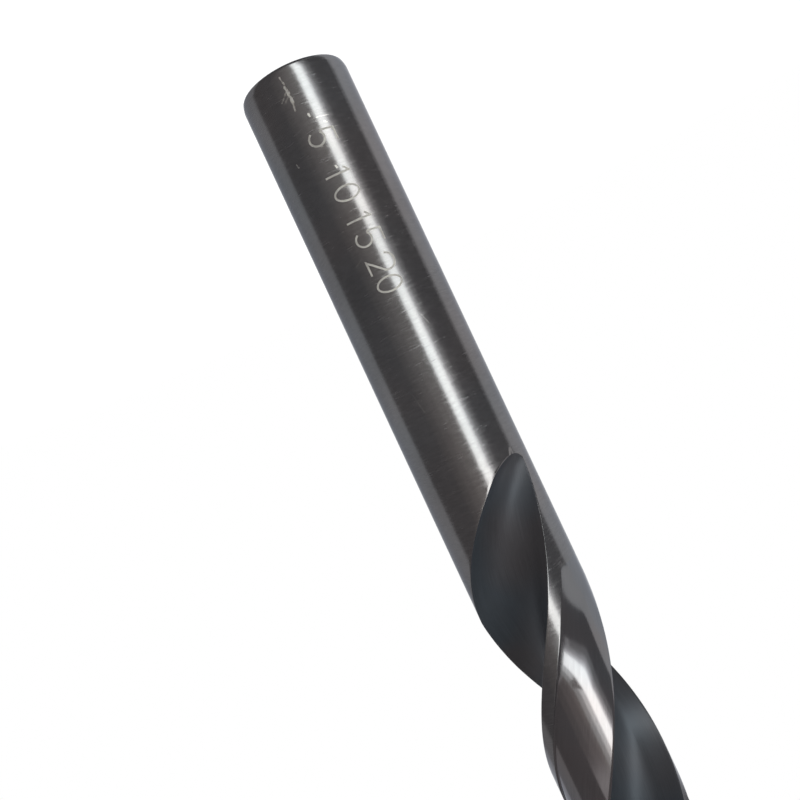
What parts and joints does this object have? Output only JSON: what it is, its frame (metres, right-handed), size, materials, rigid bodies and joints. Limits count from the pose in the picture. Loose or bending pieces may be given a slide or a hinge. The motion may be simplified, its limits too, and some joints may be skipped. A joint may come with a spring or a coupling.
{
  "type": "twist drill bit",
  "caption": "Straight-shank twist drill with right-hand helical flutes that run out on the shank, narrow margins and a ground conical point.",
  "frame": {"origin": "centre of the flat shank end, on which the drill stands", "axes": "+Z along the drill's axis, from the shank end to the point; the lips are parallel to X"},
  "size_m": [0.0138, 0.0138, 0.16],
  "materials": {
    "high_speed_steel": "Bare ground high-speed steel, dark and half bright, with fine grinding lines round the shank and along the flutes, and light scratches."
  },
  "bodies": {
    "root": {"twist_drill_bit": "high_speed_steel"}
  },
  "joints": []
}
